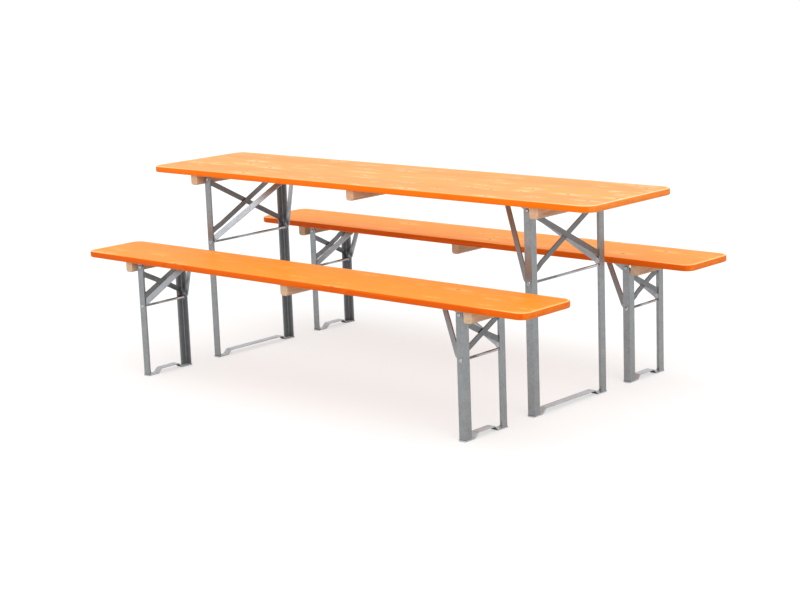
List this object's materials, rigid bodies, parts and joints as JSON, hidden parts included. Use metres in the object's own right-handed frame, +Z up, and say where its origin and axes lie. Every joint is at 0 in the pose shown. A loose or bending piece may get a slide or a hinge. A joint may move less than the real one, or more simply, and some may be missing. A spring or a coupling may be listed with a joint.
{
  "type": "folding beer table set",
  "caption": "Long folding wooden table between matching folding benches; angle-steel leg frames with cross braces fold flat under the boards and lock open with sliding struts.",
  "frame": {"origin": "on the floor under the middle of the table", "axes": "+X along the boards, +Y across them towards the rear bench, +Z up"},
  "size_m": [2.2, 1.22, 0.768],
  "materials": {
    "table_board": "clear lacquered spruce, orange stain",
    "bench_board": "clear lacquered spruce, deeper orange stain",
    "batten_wood": "planed, unstained",
    "zinc_steel": "zinc plated rolled steel",
    "rivet_steel": "bright zinc plated",
    "spring_steel": "blued spring steel"
  },
  "bodies": {
    "table": {"table_top": "table_board", "table_batten_left": "batten_wood", "table_batten_middle": "batten_wood", "table_batten_right": "batten_wood", "table_hinge_brackets": "zinc_steel", "table_hinge_pins": "rivet_steel", "table_guide_rails": "zinc_steel", "table_catch_springs": "spring_steel"},
    "table_left_leg": {"table_left_upright_front": "zinc_steel", "table_left_upright_rear": "zinc_steel", "table_left_cross_brace": "zinc_steel", "table_left_foot_strip": "zinc_steel", "table_left_crossbar": "rivet_steel"},
    "table_left_strut": {"table_left_strut": "zinc_steel"},
    "table_right_leg": {"table_right_upright_front": "zinc_steel", "table_right_upright_rear": "zinc_steel", "table_right_cross_brace": "zinc_steel", "table_right_foot_strip": "zinc_steel", "table_right_crossbar": "rivet_steel"},
    "table_right_strut": {"table_right_strut": "zinc_steel"},
    "bench_front": {"bench_front_top": "bench_board", "bench_front_batten_left": "batten_wood", "bench_front_batten_middle": "batten_wood", "bench_front_batten_right": "batten_wood", "bench_front_hinge_brackets": "zinc_steel", "bench_front_hinge_pins": "rivet_steel", "bench_front_guide_rails": "zinc_steel", "bench_front_catch_springs": "spring_steel"},
    "bench_front_left_leg": {"bench_front_left_upright_front": "zinc_steel", "bench_front_left_upright_rear": "zinc_steel", "bench_front_left_cross_brace": "zinc_steel", "bench_front_left_foot_strip": "zinc_steel", "bench_front_left_crossbar": "rivet_steel"},
    "bench_front_left_strut": {"bench_front_left_strut": "zinc_steel"},
    "bench_front_right_leg": {"bench_front_right_upright_front": "zinc_steel", "bench_front_right_upright_rear": "zinc_steel", "bench_front_right_cross_brace": "zinc_steel", "bench_front_right_foot_strip": "zinc_steel", "bench_front_right_crossbar": "rivet_steel"},
    "bench_front_right_strut": {"bench_front_right_strut": "zinc_steel"},
    "bench_rear": {"bench_rear_top": "bench_board", "bench_rear_batten_left": "batten_wood", "bench_rear_batten_middle": "batten_wood", "bench_rear_batten_right": "batten_wood", "bench_rear_hinge_brackets": "zinc_steel", "bench_rear_hinge_pins": "rivet_steel", "bench_rear_guide_rails": "zinc_steel", "bench_rear_catch_springs": "spring_steel"},
    "bench_rear_left_leg": {"bench_rear_left_upright_front": "zinc_steel", "bench_rear_left_upright_rear": "zinc_steel", "bench_rear_left_cross_brace": "zinc_steel", "bench_rear_left_foot_strip": "zinc_steel", "bench_rear_left_crossbar": "rivet_steel"},
    "bench_rear_left_strut": {"bench_rear_left_strut": "zinc_steel"},
    "bench_rear_right_leg": {"bench_rear_right_upright_front": "zinc_steel", "bench_rear_right_upright_rear": "zinc_steel", "bench_rear_right_cross_brace": "zinc_steel", "bench_rear_right_foot_strip": "zinc_steel", "bench_rear_right_crossbar": "rivet_steel"},
    "bench_rear_right_strut": {"bench_rear_right_strut": "zinc_steel"}
  },
  "joints": [
    {"name": "table_left_leg_fold", "type": "hinge", "parent": "table", "child": "table_left_leg", "pos_m": [-0.807, 0, 0.727], "axis": [0, -1, 0], "range_deg": [0, 90]},
    {"name": "table_left_strut_swing", "type": "hinge", "parent": "table_left_leg", "child": "table_left_strut", "pos_m": [-0.807, 0, 0.473], "axis": [0, -1, 0], "range_deg": [-136, 0]},
    {"name": "table_right_leg_fold", "type": "hinge", "parent": "table", "child": "table_right_leg", "pos_m": [0.807, 0, 0.727], "axis": [0, 1, 0], "range_deg": [0, 90]},
    {"name": "table_right_strut_swing", "type": "hinge", "parent": "table_right_leg", "child": "table_right_strut", "pos_m": [0.807, 0, 0.473], "axis": [0, 1, 0], "range_deg": [-136, 0]},
    {"name": "bench_front_left_leg_fold", "type": "hinge", "parent": "bench_front", "child": "bench_front_left_leg", "pos_m": [-0.807, -0.475, 0.433], "axis": [0, -1, 0], "range_deg": [0, 90]},
    {"name": "bench_front_left_strut_swing", "type": "hinge", "parent": "bench_front_left_leg", "child": "bench_front_left_strut", "pos_m": [-0.807, -0.475, 0.278], "axis": [0, -1, 0], "range_deg": [-137, 0]},
    {"name": "bench_front_right_leg_fold", "type": "hinge", "parent": "bench_front", "child": "bench_front_right_leg", "pos_m": [0.807, -0.475, 0.433], "axis": [0, 1, 0], "range_deg": [0, 90]},
    {"name": "bench_front_right_strut_swing", "type": "hinge", "parent": "bench_front_right_leg", "child": "bench_front_right_strut", "pos_m": [0.807, -0.475, 0.278], "axis": [0, 1, 0], "range_deg": [-137, 0]},
    {"name": "bench_rear_left_leg_fold", "type": "hinge", "parent": "bench_rear", "child": "bench_rear_left_leg", "pos_m": [-0.807, 0.475, 0.433], "axis": [0, -1, 0], "range_deg": [0, 90]},
    {"name": "bench_rear_left_strut_swing", "type": "hinge", "parent": "bench_rear_left_leg", "child": "bench_rear_left_strut", "pos_m": [-0.807, 0.475, 0.278], "axis": [0, -1, 0], "range_deg": [-137, 0]},
    {"name": "bench_rear_right_leg_fold", "type": "hinge", "parent": "bench_rear", "child": "bench_rear_right_leg", "pos_m": [0.807, 0.475, 0.433], "axis": [0, 1, 0], "range_deg": [0, 90]},
    {"name": "bench_rear_right_strut_swing", "type": "hinge", "parent": "bench_rear_right_leg", "child": "bench_rear_right_strut", "pos_m": [0.807, 0.475, 0.278], "axis": [0, 1, 0], "range_deg": [-137, 0]},
    {"name": "bench_front_slide", "type": "slide", "parent": "table", "child": "bench_front", "axis": [0, -1, 0], "range_m": [-0.1, 0.35]},
    {"name": "bench_rear_slide", "type": "slide", "parent": "table", "child": "bench_rear", "axis": [0, 1, 0], "range_m": [-0.1, 0.35]}
  ],
  "couplings": [
    {"joint": "table_left_strut_swing", "follows": "table_left_leg_fold", "ratio": -1.505},
    {"joint": "table_right_strut_swing", "follows": "table_right_leg_fold", "ratio": -1.505},
    {"joint": "bench_front_left_strut_swing", "follows": "bench_front_left_leg_fold", "ratio": -1.5169},
    {"joint": "bench_front_right_strut_swing", "follows": "bench_front_right_leg_fold", "ratio": -1.5169},
    {"joint": "bench_rear_left_strut_swing", "follows": "bench_rear_left_leg_fold", "ratio": -1.5169},
    {"joint": "bench_rear_right_strut_swing", "follows": "bench_rear_right_leg_fold", "ratio": -1.5169}
  ]
}
